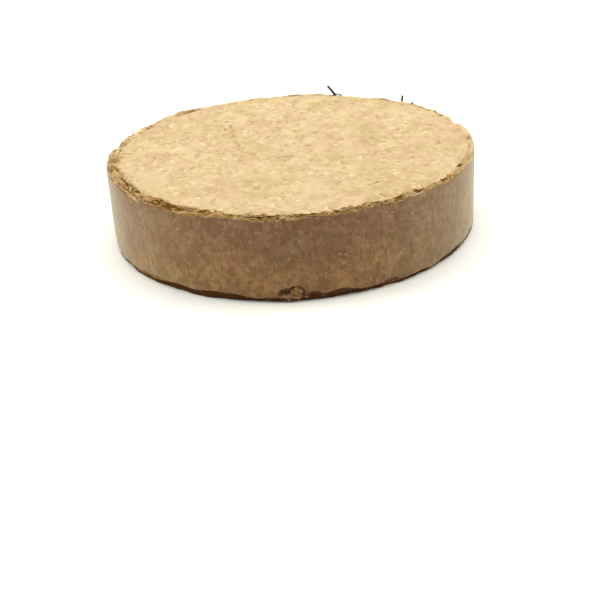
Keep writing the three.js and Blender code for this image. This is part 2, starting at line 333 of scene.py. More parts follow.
def outline(bearing):
    """The profile at each bearing, from the base's centre up to the face's centre: radii and heights."""
    loose = 1 + stretch(FLAKY_BORDER, bearing)
    wall = wall_radius(bearing)
    crest = crest_height(bearing) + CREST_FRAY * fray(bearing, 60)
    edge = face_edge(bearing) + sum_of(FACE_REACH, bearing)
    edge = edge + FACE_EDGE_FRAY * loose * np.minimum(0, fray(bearing, 62))
    width = crack_width(bearing) * (1 + 0.6 * fray(bearing, 66))
    border_edge = np.minimum(edge + CRACK_CLEARANCE + width, wall - CREST_INSET - LIP)
    foot = foot_height(bearing) + FOOT_FRAY * fray(bearing, 64)
    flat = np.zeros_like(bearing)
    base = flat + BASE_LEVEL
    rows = (
        (flat, base),
        (flat + BASE_INNER_RADIUS, base),
        (wall - FOOT_RECESS * (1.1 - 0.5 * wander(bearing, 52, 6)), base + BASE_EDGE_RISE),
        (wall - LIP, foot),
        (wall, flat + WALL_LEVELS[0]),
        (wall + WALL_UNEVENNESS * wander(bearing, 24, 8), flat + WALL_LEVELS[1]),
        (wall + WALL_UNEVENNESS * wander(bearing, 22, 9), flat + WALL_LEVELS[2]),
        (wall, flat + WALL_LEVELS[3]),
        (wall - LIP, crest - CREST_FALL),
        (wall - CREST_INSET, crest),
        (border_edge, crest - LIP),
        (edge + LIP + 0.4 * width, filled_crack_floor(bearing)),
        (edge, flat + DISC_HEIGHT - LIP),
        (flat + FACE_INNER_RADIUS, flat + DISC_HEIGHT),
        (flat, flat + DISC_HEIGHT),
    )
    return np.array(rows)


# The rows of the outline that bound each part of the cake.
BASE_EDGE_ROW = 2
FOOT_ROW = 3
WALL_FOOT_ROW = 4
WALL_HEAD_ROW = 8
CRACK_ROW = 11
FACE_EDGE_ROW = 12
CENTRE_ROW = len(LINES_PER_SPAN)


def column_bearings():
    """Bearings of the mesh columns, closer together where the finest detail is."""
    fine = np.linspace(0, 360, 20 * 360 + 1)
    crowding = 1 + sum(extra * hump(fine, at, spread) for at, spread, extra in COLUMN_CROWDING)
    filled = np.concatenate(([0], np.cumsum(crowding[1:])))
    return np.interp(np.arange(COLUMNS) / COLUMNS, filled / filled[-1], fine)


def line_places():
    """The place of each mesh line along the outline, counted in rows."""
    places = [0.0]
    for row, lines in enumerate(LINES_PER_SPAN):
        places += [row + (line + 1) / lines for line in range(lines)]
    return np.array(places)


def chip_reach(bearing, height, chip):
    """How far inside a chip's outline a place of the wall is: 1 at its middle, below 0 outside."""
    at, up, along, tall = chip[:4]
    sideways = np.radians(apart(bearing, at)) * DISC_RADIUS / (along * MM)
    upwards = (height - up * MM) / (tall * MM)
    return 1 - sideways ** 2 - upwards ** 2


def crumbling(bearing, height, unevenness):
    """How far the lower edge has crumbled away, measured inwards."""
    depth = np.zeros_like(height)
    for chip in CHIPS:
        reach = chip_reach(bearing, height, chip) + 0.35 * unevenness
        depth = np.maximum(depth, chip[-1] * MM * np.sqrt(np.clip(reach, 0, 1)))
    for crumb in LOOSE_CRUMBS:
        reach = chip_reach(bearing, height, crumb) + 0.5 * unevenness
        kept = smooth(2.5 * reach)
        depth = depth * (1 - kept) - CRUMB_PROUD * kept * np.sqrt(np.clip(reach, 0, 1))
    return depth


def chip_share(bearing, height):
    """Above 0 inside a chip, as far as it reaches."""
    return np.max([2 * chip_reach(bearing, height, chip) for chip in CHIPS], axis=0)


def on_disc(bearing, radius, height):
    turn = np.radians(bearing)
    return np.stack((radius * np.sin(turn), -radius * np.cos(turn), height), axis=-1)


def cake_parts(around, place, height):
    """How far each point of the surface belongs to each part of the cake, and how each stretch of rim is."""
    head = WALL_HEAD_ROW + 0.2 * wander(around, 140, 70) - 0.3 * stretch(LOW_BORDER, around)
    head = head + 1.1 * stretch(HIGH_SKIN, around)
    above_foot = (height - foot_height(around) - sum_of(HIGH_FOOT_SHADOW, around)) / MM
    walled = smooth((above_foot - 0.05) / 0.3) * smooth((head + 0.7 - place) / 0.5)
    frayed = 1 - stretch(SOUND_RIM, around)
    return {
        "loose": smooth((place - head - 0.2) / 0.5) * smooth((FACE_EDGE_ROW + 0.4 - place) / 0.6),
        "punched": smooth((place - FACE_EDGE_ROW + 0.3) / 0.5),
        "walled": walled,
        "foot": smooth((place - BASE_EDGE_ROW + 0.9) / 0.6) * smooth((0.35 - above_foot) / 0.3),
        "ruddy": stretch(RUDDY_BORDER, around),
        "fair": stretch(FAIR_AND_LIT_BORDER, around),
        "bridged": stretch(BRIDGED_CRACK, around),
        "frayed": frayed,
        "hairy": frayed * (1 - walled),
        "dull": stretch(DULL_BORDER, around),
    }


def unrolled(around, radius, height):
    """Places on the surface as if the wall were laid out flat."""
    return np.stack((np.radians(around) * DISC_RADIUS, radius, height), axis=-1)


def split_share(around, radius, height):
    """How far the border has split into layers."""
    splitting = lumps(unrolled(around, radius, height), SPLIT_SIZE, 35)
    return smooth((splitting - 0.25 + 0.3 * stretch(FLAKY_BORDER, around)) / 0.35)


def relief(around, place, radius, height, parts, splits):
    """How far the surface stands out from its smooth outline, as each part of the cake has it."""
    loose, punched, walled = (parts[name] for name in ("loose", "punched", "walled"))
    grain = lumps(on_disc(around, radius, height), GRAIN_SIZE, 31)
    coarse = lumps(on_disc(around, radius, height), LUMP_SIZE, 32)
    upright = lumps(unrolled(around, radius, height), STREAK_SIZE, 33)
    layers = lumps(unrolled(around, radius, height), LAYER_SIZE, 34)
    rise = walled * (WALL_LUMPS * coarse + WALL_GRAIN * grain + WALL_STREAKS * upright)
    torn = loose * (0.4 + 0.6 * parts["frayed"]) * (1 + stretch(FLAKY_BORDER, around))
    rise = rise + torn * (BORDER_LAYERS * layers + BORDER_GRAIN * grain - BORDER_SPLITS * splits)
    rise = rise + parts["foot"] * (FOOT_GRAIN * grain + FOOT_LUMPS * coarse)
    rise = rise + punched * (FACE_LUMPS * coarse + FACE_GRAIN * grain)
    rise = rise - (1 - loose) * (1 - punched) * (1 - walled) * CRACK_GRAIN * (1 + grain)
    flat = smooth((BASE_EDGE_ROW - 0.6 - place) / 0.3) + smooth((place - FACE_EDGE_ROW - 0.6) / 0.3)
    return rise * (1 - flat) * MM


def roughened(radius, height, rise):
    """The outlines, moved along their own normals by the rise at each point."""
    step_out = np.gradient(radius, axis=0)
    step_up = np.gradient(height, axis=0)
    length = np.maximum(np.hypot(step_out, step_up), 1e-9)
    return radius + rise * step_up / length, height - rise * step_out / length


def crumbled_edge(around, place, radius, height):
    """Takes the wall inwards where the lower edge has crumbled, and says how far each point has."""
    unevenness = lumps(on_disc(around, DISC_RADIUS, height), CRUMB_SIZE, 36)
    depth = crumbling(around, height, unevenness) * smooth((WALL_FOOT_ROW + 1 - place) / 0.3)
    kept = DISC_RADIUS - depth
    crumbled = smooth((radius - kept) / (0.6 * MM))
    radius = np.where(depth > 0, np.minimum(radius, kept), radius)
    radius = np.where(depth < 0, np.maximum(radius, kept), radius)
    return radius, crumbled


def painted_hollow_shade(around, place, height, parts, splits, crumbled):
    """Painted shade: how dark each point is painted where the edge has crumbled, down in the crack, and
    between split layers.
    """
    in_crack = (place > CRACK_ROW - 0.7) * (place < FACE_EDGE_ROW + 0.4)
    sunk = smooth((DISC_HEIGHT - 0.12 * MM - height) / (0.35 * MM)) * in_crack
    darkened = smooth((place - CRACK_ROW + 1.7) / 0.3) * smooth((FACE_EDGE_ROW + 0.1 - place) / 0.1)
    darkened = darkened * stretch(DARKEST_CRACK_SHADE, around)
    split = 0.9 * parts["loose"] * splits * parts["frayed"]
    return np.maximum.reduce((crumbled, 0.6 * sunk * parts["frayed"], darkened, split))


def cake_grid():
    """The points of the cake's surface, by line and column, and what each of them is part of."""
    bearing = column_bearings()
    places = line_places()
    rows = outline(bearing)
    below = np.minimum(places.astype(int), len(rows) - 2)
    share = (places - below)[:, None, None]
    radius, height = np.moveaxis(rows[below] * (1 - share) + rows[below + 1] * share, 1, 0)
    around = np.broadcast_to(bearing, radius.shape)
    place = np.broadcast_to(places[:, None], radius.shape)
    parts = cake_parts(around, place, height)
    splits = split_share(around, radius, height)
    rise = relief(around, place, radius, height, parts, splits)
    radius, height = roughened(radius, height, rise)
    radius, crumbled = crumbled_edge(around, place, radius, height)
    height = np.maximum(height, LOWEST_LEVEL)
    # How far each point is painted in shade, in its cracks, chips and split layers.
    parts["hollow_shade"] = painted_hollow_shade(around, place, height, parts, splits, crumbled)
    parts["crumbled"] = smooth(chip_share(around, height))
    return on_disc(around, radius, height), parts


def line_at(row):
    """The number of the mesh line that lies on a row of the outline."""
    return int(np.argmin(np.abs(line_places() - row)))


def add_share(mesh, name, values):
    """Keeps a number for each point of a mesh, for its material or its fibres to read."""
    attribute = mesh.attributes.new(name, "FLOAT", "POINT")
    attribute.data.foreach_set("value", np.asarray(values, np.float32).ravel())


def rings(count, first):
    """Quads between a run of rings of points, facing outwards."""
    line, column = np.meshgrid(np.arange(count - 1), np.arange(COLUMNS), indexing="ij")
    following = (column + 1) % COLUMNS
    low = first + line * COLUMNS
    return np.stack((low + column, low + following, low + COLUMNS + following, low + COLUMNS + column), -1)


def cake_mesh(points, shares):
    """The whole cake: its rings, closed by a fan at the centre of each face.

    The wall has the second material.
    """
    body = points[1:-1].reshape(-1, 3)
    corners = np.concatenate((points[0, :1], points[-1, :1], body))
    count = len(points) - 2
    quads = rings(count, 2).reshape(-1, 4).tolist()
    column = np.arange(COLUMNS)
    following = (column + 1) % COLUMNS
    last = 2 + (count - 1) * COLUMNS
    lower = np.stack((np.zeros_like(column), 2 + following, 2 + column), -1).tolist()
    upper = np.stack((np.ones_like(column), last + column, last + following), -1).tolist()
    mesh = bpy.data.meshes.new("pressed_cake")
    mesh.from_pydata(corners.tolist(), [], quads + lower + upper)
    for name, part in shares.items():
        add_share(mesh, name, np.concatenate((part[0, :1], part[-1, :1], part[1:-1].ravel())))
    places = line_places()[1:-2]
    wall_faces = np.repeat((places > FOOT_ROW) & (places < WALL_HEAD_ROW + 0.6), COLUMNS)
    slots = np.concatenate((wall_faces, np.zeros(2 * COLUMNS))).astype(np.int32)
    mesh.polygons.foreach_set("material_index", slots)
    mesh.shade_smooth()
    return mesh


def patch_mesh(name, points, shares, from_row, to_row):
    """A band of the cake's surface for fibres to lie on."""
    first, last = max(1, line_at(from_row)), min(len(points) - 2, line_at(to_row))
    band = slice(first, last + 1)
    mesh = bpy.data.meshes.new(name)
    faces = rings(last - first + 1, 0).reshape(-1, 4).tolist()
    mesh.from_pydata(points[band].reshape(-1, 3).tolist(), [], faces)
    for key, part in shares.items():
        add_share(mesh, key, part[band])
    return mesh


# Node trees, for shapes and materials alike.


def arithmetic(operation, reflected=False):
    """One operator of a wire, as a maths node."""
    def operator(wire, other):
        numbers = (other, wire) if reflected else (wire, other)
        return wire.sheet.maths(operation, *numbers)
    return operator


class Wire:
    """An output of a node that takes part in Python arithmetic."""

    def __init__(self, sheet, socket):
        self.sheet = sheet
        self.socket = socket

    __add__ = arithmetic("ADD")
    __radd__ = arithmetic("ADD", reflected=True)
    __sub__ = arithmetic("SUBTRACT")
    __rsub__ = arithmetic("SUBTRACT", reflected=True)
    __mul__ = arithmetic("MULTIPLY")
    __rmul__ = arithmetic("MULTIPLY", reflected=True)
    __rtruediv__ = arithmetic("DIVIDE", reflected=True)
    __pow__ = arithmetic("POWER")


class Sheet:
    """A node tree while it is drawn up."""

    def __init__(self, tree):
        self.tree = tree

    def node(self, kind, settings=(), **sockets):
        """Adds a node. Its settings are set first, then a value or a link for each socket.

        A socket is named as on the node, with _ for a space, or in_ and its number where names repeat.
        """
        made = self.tree.nodes.new(kind)
        for name, value in dict(settings).items():
            setattr(made, name, value)
        for name, value in sockets.items():
            numbered = name.startswith("in_")
            socket = made.inputs[int(name[3:])] if numbered else made.inputs[name.replace("_", " ")]
            if isinstance(value, Wire):
                self.tree.links.new(value.socket, socket)
            else:
                socket.default_value = value
        return made

    def wire(self, made, output=0):
        return Wire(self, made.outputs[output])

    def maths(self, operation, *numbers):
        sockets = {f"in_{index}": number for index, number in enumerate(numbers)}
        return self.wire(self.node("ShaderNodeMath", {"operation": operation}, **sockets))

    def vector(self, operation, *inputs, output=0):
        sockets = {f"in_{index}": value for index, value in enumerate(inputs)}
        return self.wire(self.node("ShaderNodeVectorMath", {"operation": operation}, **sockets), output)

    def step(self, value, low, high):
        """From 0 at low to 1 at high, smooth between them. Low may also be the greater of the two."""
        ranged = self.node(
            "ShaderNodeMapRange", {"interpolation_type": "SMOOTHSTEP"}, in_0=value, in_1=low, in_2=high
        )
        return self.wire(ranged)

    def noise(self, place, size, detail=2.0, roughness=0.5, output=0):
        """Noise from 0 to 1 with features of a given size in metres."""
        sockets = {"Vector": place, "Scale": 1 / size, "Detail": detail, "Roughness": roughness}
        return self.wire(self.node("ShaderNodeTexNoise", (), **sockets), output)

    def cells(self, place, size):
        """Ragged cells of a given size in metres, with a random tone for each."""
        bend = self.node("ShaderNodeTexNoise", (), Vector=place, Scale=1.6 / size, Detail=2.0)
        bent = self.vector("ADD", place, self.scaled(self.wire(bend, "Color"), 0.9 * size))
        tones = self.node("ShaderNodeTexVoronoi", {"feature": "F1"}, Vector=bent, Scale=1 / size)
        return self.wire(tones, "Color")

    def attribute(self, name):
        return self.wire(self.node("ShaderNodeAttribute", {"attribute_name": name}), "Fac")

    def mix(self, share, first, second):
        """A colour between two colours."""
        made = self.node("ShaderNodeMix", {"data_type": "RGBA"}, in_0=share, in_6=first, in_7=second)
        return self.wire(made, 2)

    def scaled(self, colour, share):
        """A colour or vector times a number."""
        made = self.node("ShaderNodeVectorMath", {"operation": "SCALE"}, in_0=colour, in_3=share)
        return self.wire(made)


def tint(red, green, blue):
    """A colour as a screen shows it, from 0 to 255, as the shader needs it."""
    return tuple(((part / 255 + 0.055) / 1.055) ** 2.4 for part in (red, green, blue)) + (1.0,)


# Materials.

STRAW_ROSY = tint(196, 169, 139)
STRAW_YELLOW = tint(195, 172, 133)
STRAW_LIGHT = tint(211, 188, 149)
PALEST_STRAW = tint(220, 199, 160)
STRAW_DEEP = tint(170, 139, 98)
STRAW_SHADE = tint(140, 109, 72)
GOLD = tint(178, 146, 100)
PALE_GOLD = tint(200, 168, 120)
RUDDY = tint(192, 154, 120)
RUDDY_DARK = tint(152, 108, 76)
HUSK = tint(137, 104, 68)
HUSK_LIGHT = tint(158, 128, 96)
HUSK_DARK = tint(104, 73, 44)
HUSK_PURPLE = tint(130, 94, 71)
HUSK_ROSY = tint(140, 94, 70)
HUSK_OLIVE = tint(130, 106, 72)
PAINTED_SIDE_GREY = tint(122, 99, 74)
HUSK_GOLDEN = tint(153, 116, 72)
# The foot's dark brown is partly its own and partly painted contact shadow along the disc's lower edge.
FOOT_BROWN_AND_SHADOW = tint(72, 45, 25)
# Two copies of the crack's brown: the first made lighter, as painted light, for the fibres and flakes that
# stand in shade; the second darker, as painted shade, on the cake itself.
LIGHTENED_CRACK_BROWN = tint(126, 84, 30)
HOLLOW_SHADE_BROWN = tint(102, 70, 26)
SPLIT_SHADE_BROWN = tint(112, 76, 34)
CRACK_GOLD = tint(160, 122, 66)
BORDER_BROWN = tint(128, 94, 52)
CHIP_BROWN = tint(98, 56, 32)
CRUMB_GOLD = tint(172, 136, 94)
PALE_HUSK = tint(160, 130, 102)
FIBRE_DARK = tint(80, 68, 65)

# The dusty paleness of the wall at a low angle, and the faint gloss that the die gave it.
WALL_SHEEN = 0.62
WALL_GLOSS = 0.2
SHEEN_TINT = (0.96, 0.98, 0.84, 1.0)
SHEEN_ROUGHNESS = 0.4
DRY_ROUGHNESS = 0.9
# How deep the finest roughness is, which is a bump in the material and not in the shape.
FACE_BUMP = 0.045 * MM
WALL_BUMP = 0.02 * MM
FLAKE_BUMP = 0.02 * MM
FIBRE_BUMP = 0.04 * MM
# The angles, in radians, by which noise is turned.
NOISE_TURN = (0.3, 0.2, -0.6)
# The tone of a fibre that is neither pale nor deep. Tones go from 0 to 1.
MIDDLE_TONE = 0.5


def new_material(name):
    material = bpy.data.materials.new(name)
    material.use_nodes = True
    material.node_tree.nodes.clear()
    return material, Sheet(material.node_tree)


def finish_material(sheet, colour, bump_height, bump_depth, sheen=0.0, specular=0.0):
    """A dry, matte surface. Sheen is the paleness that a dusty surface shows at a low angle."""
    bump = sheet.node("ShaderNodeBump", (), Strength=1.0, Distance=bump_depth, Height=bump_height)
    sockets = {
        "Base Color": colour,
        "Roughness": DRY_ROUGHNESS,
        "Specular IOR Level": specular,
        "Sheen Weight": sheen,
        "Sheen Roughness": SHEEN_ROUGHNESS,
        "Sheen Tint": SHEEN_TINT,
        "Normal": sheet.wire(bump),
    }
    shader = sheet.node("ShaderNodeBsdfPrincipled", (), **sockets)
    sheet.node("ShaderNodeOutputMaterial", (), Surface=sheet.wire(shader))


def object_place(sheet):
    return sheet.wire(sheet.node("ShaderNodeTexCoord"), "Object")


def turned(sheet, place, scale):
    """A place for noise to be read at, turned so that the noise's own grid doesn't show."""
    return sheet.wire(sheet.node("ShaderNodeMapping", (), Vector=place, Rotation=NOISE_TURN, Scale=scale))


def painted(sheet, colour, layers):
    """A colour with others over it in turn.

    A layer has the number that it follows, the values of it where the layer starts and where it is full, its
    greatest share and its colour.
    """
    for number, low, high, share, other in layers:
        colour = sheet.mix(sheet.step(number, low, high) * share, colour, other)
    return colour


def straw_colour(sheet, place):
    """The punched face: pale straw in rosy and yellow patches, with the flakes that are pressed into it.

    The patches are drawn out from front to back.
    """
    place = turned(sheet, place, (1.0, 0.85, 1.0))
    wide = sheet.cells(place, 3 * MM)
    small = sheet.cells(place, 1.1 * MM)
    return painted(sheet, STRAW_ROSY, (
        (sheet.noise(place, 12 * MM), 0.4, 0.6, 1.0, STRAW_YELLOW),
        (sheet.noise(place, 14 * MM, 1.0), 0.42, 0.66, 0.3, STRAW_DEEP),
        (sheet.noise(place, 3.6 * MM), 0.42, 0.72, 0.35, STRAW_DEEP),
        (wide, 0.55, 0.75, 0.3, STRAW_LIGHT),
        (wide, 0.42, 0.25, 0.2, STRAW_DEEP),
        (small, 0.66, 0.82, 0.35, STRAW_LIGHT),
        (small, 0.24, 0.14, 0.25, STRAW_SHADE),
    ))


def husk_colour(sheet, place):
    """The moulded wall: brown with faint upright marks.

    It is more purple at its head and golden at its foot. Painted light and shade stand for how the light
    falls
    on its sides: olive to the left and right, greyer to the right, a painted highlight at the far right and
    painted shade at the far left.
    """
    axes = sheet.node("ShaderNodeSeparateXYZ", (), Vector=place)
    upright = turned(sheet, place, (1.0, 1.0, 0.4))
    place = turned(sheet, place, (1.0, 1.0, 1.0))
    sideways = sheet.wire(axes, 0)
    off_middle = sheet.maths("ABSOLUTE", sideways)
    broad = sheet.noise(place, 9 * MM)
    mottle = sheet.noise(place, 1.8 * MM, 3.0, 0.6)
    fleck = sheet.noise(place, 0.8 * MM)
    return painted(sheet, HUSK_GOLDEN, (
        (sheet.wire(axes, 2) + (broad - 0.5) * (16 * MM), 3 * MM, 18 * MM, 1.0, HUSK_PURPLE),
        (sheet.noise(place, 4.4 * MM, output=1), 0.44, 0.58, 0.5, HUSK_OLIVE),
        (sheet.noise(place, 3.4 * MM), 0.5, 0.62, 0.4, HUSK_ROSY),
        # Painted light and shade by how far left or right a place on the wall is, for how the light falls on
        # its sides.
        (off_middle, 20 * MM, 34 * MM, 0.4, HUSK_OLIVE),
        (sideways, 16 * MM, 30 * MM, 0.6, PAINTED_SIDE_GREY),
        (sideways, 38 * MM, 47 * MM, 0.3, HUSK_LIGHT),
        (sideways, -34 * MM, -46 * MM, 0.2, HUSK_DARK),
        (sheet.noise(place, 5 * MM), 0.6, 0.4, 0.4, HUSK_DARK),
        (mottle, 0.56, 0.38, 0.5, HUSK_DARK),
        (sheet.noise(upright, 0.9 * MM), 0.56, 0.7, 0.75, HUSK_DARK),
        (fleck * 0.6 + mottle * 0.4, 0.55, 0.68, 0.65, HUSK_LIGHT),
        (sheet.noise(place, 0.5 * MM, 1.0), 0.64, 0.74, 0.6, HUSK_DARK),
    ))


def pressed_coir(name, sheen, specular, bump_depth):
    """The cake: straw on its faces, brown on its wall and golden in its loose border.

    Its cracks, chips and split layers are brown with painted shade, its dark foot has painted contact shadow
    and its fair border painted light.
    """
    material, sheet = new_material(name)
    place = object_place(sheet)
    punched, loose, hollow_shade, foot, fair, dull, ruddy = (
        sheet.attribute(part) for part in ("punched", "loose", "hollow_shade", "foot", "fair", "dull", "ruddy")
    )
    straw = straw_colour(sheet, place)
    patchy = sheet.noise(place, 1.2 * MM) - 0.5
    spotty = sheet.noise(place, 0.7 * MM) - 0.5
    border = sheet.mix(sheet.step(spotty, -0.08, 0.08), BORDER_BROWN, GOLD)
    # Painted light: the fair border goes half way to the palest straw, so that its steep side, which stands
    # in shade, looks as pale as the face.
    pale = sheet.mix(0.5, straw, PALEST_STRAW)
    border = sheet.mix(fair, border, sheet.mix(sheet.step(patchy, -0.3, -0.15), GOLD, pale))
    border = sheet.mix(dull * sheet.step(spotty, 0.2, -0.05), border, BORDER_BROWN)
    border = sheet.mix(ruddy, border, sheet.mix(sheet.step(patchy, -0.1, 0.1), RUDDY_DARK, RUDDY))
    colour = sheet.mix(sheet.attribute("walled"), straw, husk_colour(sheet, place))
    # The dark foot: its own crumbled brown, partly painted contact shadow along the disc's lower edge.
    colour = sheet.mix(sheet.step(foot + 0.9 * patchy, 0.3, 0.6), colour, FOOT_BROWN_AND_SHADOW)
    colour = sheet.mix(sheet.step(loose + 1.2 * spotty, 0.3, 0.7), colour, border)
    colour = sheet.mix(sheet.step(punched + 0.3 * patchy, 0.35, 0.65), colour, straw)
    # Painted shade over the own brown of the cracks, chips and split layers.
    hollow_shade_colour = sheet.mix(sheet.step(sheet.attribute("bridged"), 0.4, 1.0), HOLLOW_SHADE_BROWN, CRACK_GOLD)
    hollow_shade_colour = sheet.mix(ruddy, hollow_shade_colour, RUDDY_DARK)
    hollow_shade_colour = sheet.mix(sheet.attribute("crumbled"), hollow_shade_colour, CHIP_BROWN)
    colour = sheet.mix(sheet.step(hollow_shade + 1.1 * spotty, 0.25, 0.6), colour, hollow_shade_colour)
    finish_material(sheet, colour, sheet.noise(place, 0.6 * MM), bump_depth, sheen, specular)
    return material


def flake_material(name, deep=0.1, pale=0.25, at_edge=False):
    """Flakes of the punched face, each deeper or paler than the face itself by up to the shares given.

    Those at its edge are brown where the crack begins.
    """
    material, sheet = new_material(name)
    place = object_place(sheet)
    tone = sheet.attribute("tone")
    colour = painted(sheet, straw_colour(sheet, place), (
        (tone, 0.35, 0.0, deep, STRAW_SHADE),
        (tone, 0.6, 1.0, pale, PALEST_STRAW),
    ))
    if at_edge:
        torn = sheet.step(sheet.attribute("punched"), 0.99, 0.6) * sheet.attribute("frayed")
        colour = sheet.mix(torn * 0.7, colour, BORDER_BROWN)
    finish_material(sheet, colour, sheet.noise(place, 0.8 * MM), FLAKE_BUMP)
    return material


def fibre_material(
    name, usual, pale, deep, pale_from=0.72, deep_to=0.22, sheen=0.0, specular=0.0, of_border=False
):
    """Fibres that each have their own tone: deep up to deep_to, pale from pale_from, and usual between.

    Those of the border also take its colours.
    """
    material, sheet = new_material(name)
    place = object_place(sheet)
    tone = sheet.attribute("tone")
    colour = sheet.mix(sheet.step(tone, 0.0, deep_to), deep, usual)
    colour = sheet.mix(sheet.step(tone, pale_from, 1.0), colour, pale)
    if of_border:
        colour = sheet.mix(sheet.attribute("fair") * 0.85, colour, PALE_GOLD)
        colour = sheet.mix(sheet.attribute("ruddy") * 0.75, colour, RUDDY)
        colour = sheet.mix(sheet.attribute("dull") * 0.8, colour, BORDER_BROWN)
    colour = painted(sheet, colour, ((sheet.noise(place, 0.5 * MM), 0.35, 0.75, 0.35, deep),))
    finish_material(sheet, colour, sheet.noise(place, 0.3 * MM), FIBRE_BUMP, sheen, specular)
    return material


# Fibres, flakes and grains that repeat.

# No fibre or grain comes nearer than this to what the disc rests on.
GROUND_GAP = 0.02 * MM
# The least and greatest thickness of a sliver or grain, as shares of the one that is given.
THINNEST = 0.6
THICKEST = 1.2
# How much thinner a drawn fibre is at its tip, and how deep a mark is sunk in the wall, as shares of its half
# width.
FIBRE_TAPER = 0.3
MARK_SINKING = 0.65


def new_tree(name, inputs):
    """A Geometry Nodes tree with a surface, named inputs and one result."""
    tree = bpy.data.node_groups.new(name, "GeometryNodeTree")
    tree.interface.new_socket("Surface", in_out="INPUT", socket_type="NodeSocketGeometry")
    for label, kind in inputs.items():
        tree.interface.new_socket(label, in_out="INPUT", socket_type=kind)
    tree.interface.new_socket("Result", in_out="OUTPUT", socket_type="NodeSocketGeometry")
    sheet = Sheet(tree)
    given = tree.nodes.new("NodeGroupInput")
    return sheet, {socket.name: Wire(sheet, socket) for socket in given.outputs if socket.name}


def random_number(sheet, low, high, seed):
    made = sheet.node("FunctionNodeRandomValue", {"data_type": "FLOAT"}, in_2=low, in_3=high, in_8=seed)
    return sheet.wire(made, 1)


def unit_sliver(sheet, places=4):
    """A closed sliver along X, about 1 in length, width and thickness, and drawn out thin at both ends."""
    line = sheet.node("GeometryNodeCurvePrimitiveLine", (), Start=(-0.5, 0, 0), End=(0.5, 0, 0))
    path = sheet.node("GeometryNodeResampleCurve", (), Curve=sheet.wire(line), Count=places)
    along = sheet.wire(sheet.node("GeometryNodeSplineParameter"), "Factor")
    taper = (4.2 * along * (1 - along) + 0.05) ** 0.6
    ring = sheet.node("GeometryNodeCurvePrimitiveCircle", (), Resolution=4, Radius=0.5)
    skin = sheet.node(
        "GeometryNodeCurveToMesh", (), Curve=sheet.wire(path), Profile_Curve=sheet.wire(ring),
        Scale=taper, Fill_Caps=True,
    )
    return sheet.wire(skin)


def unit_curl(sheet):
    """A sliver with more places along it, to be bent more."""
    return unit_sliver(sheet, places=8)


def unit_grain(sheet):
    """A closed ball of size 1, to be squeezed and bent into a grain."""
    ball = sheet.node("GeometryNodeMeshIcoSphere", (), Radius=0.5, Subdivisions=2)
    return sheet.wire(ball, "Mesh")


def lie_direction(sheet, lie, normal, angle):
    """The way a sliver points: turned by an angle, about the surface's normal, from the way most lie."""
    if lie == "upright":
        main = (0.0, 0.0, 1.0)
    elif lie == "round":
        here = sheet.wire(sheet.node("GeometryNodeInputPosition"))
        main = sheet.vector("CROSS_PRODUCT", (0.0, 0.0, 1.0), here)
    else:
        main = (1.0, 0.0, 0.0)
    across = sheet.vector("NORMALIZE", sheet.vector("CROSS_PRODUCT", normal, main))
    pointing = sheet.node(
        "ShaderNodeVectorRotate", {"rotation_type": "AXIS_ANGLE"},
        Vector=across, Center=(0.0, 0.0, 0.0), Axis=normal, Angle=angle - math.pi / 2,
    )
    return sheet.wire(pointing)


# The inputs of a laid tree.
LAID_SIZES = (
    "Per Area", "Shortest", "Longest", "Narrowest", "Widest", "Thickness", "Sunk", "Turn", "Tilt", "Roll",
    "Curl", "Curl Size", "Lift",
)
LAID_INPUTS = {"Seed": "NodeSocketInt"} | {label: "NodeSocketFloat" for label in LAID_SIZES}


def within(sheet, given, label, step):
    """A random number from minus an input to plus that input."""
    return random_number(sheet, 0 - given[label], given[label], given["Seed"] + step)


def between(sheet, given, least, most, step):
    """A random number between two inputs."""
    return random_number(sheet, given[least], given[most], given["Seed"] + step)


def stored(sheet, shape, domain, kind, name, value):
    """A shape that keeps a value under a name at each of its points or instances."""
    made = sheet.node(
        "GeometryNodeStoreNamedAttribute", {"data_type": kind, "domain": domain},
        Geometry=sheet.wire(shape), Name=name, in_3=value,
    )
    return sheet.wire(made)


def lying_rotation(sheet, given, lie, normal):
    """Flat in the surface and turned, then leaned a little along and across."""
    direction = lie_direction(sheet, lie, normal, within(sheet, given, "Turn", 1))
    flat = sheet.node(
        "FunctionNodeAxesToRotation", {"primary_axis": "Z", "secondary_axis": "X"},
        Primary_Axis=normal, Secondary_Axis=direction,
    )
    roll, tilt = within(sheet, given, "Roll", 2), within(sheet, given, "Tilt", 3)
    lean = sheet.node("ShaderNodeCombineXYZ", (), X=roll, Y=tilt)
    lean = sheet.node("FunctionNodeEulerToRotation", (), Euler=sheet.wire(lean))
    rotation = sheet.node(
        "FunctionNodeRotateRotation", {"rotation_space": "LOCAL"},
        Rotation=sheet.wire(flat), Rotate_By=sheet.wire(lean),
    )
    return sheet.wire(rotation)


def random_size(sheet, given):
    thickness = given["Thickness"] * random_number(sheet, THINNEST, THICKEST, given["Seed"] + 6)
    length = between(sheet, given, "Shortest", "Longest", 4)
    width = between(sheet, given, "Narrowest", "Widest", 5)
    return sheet.wire(sheet.node("ShaderNodeCombineXYZ", (), X=length, Y=width, Z=thickness))


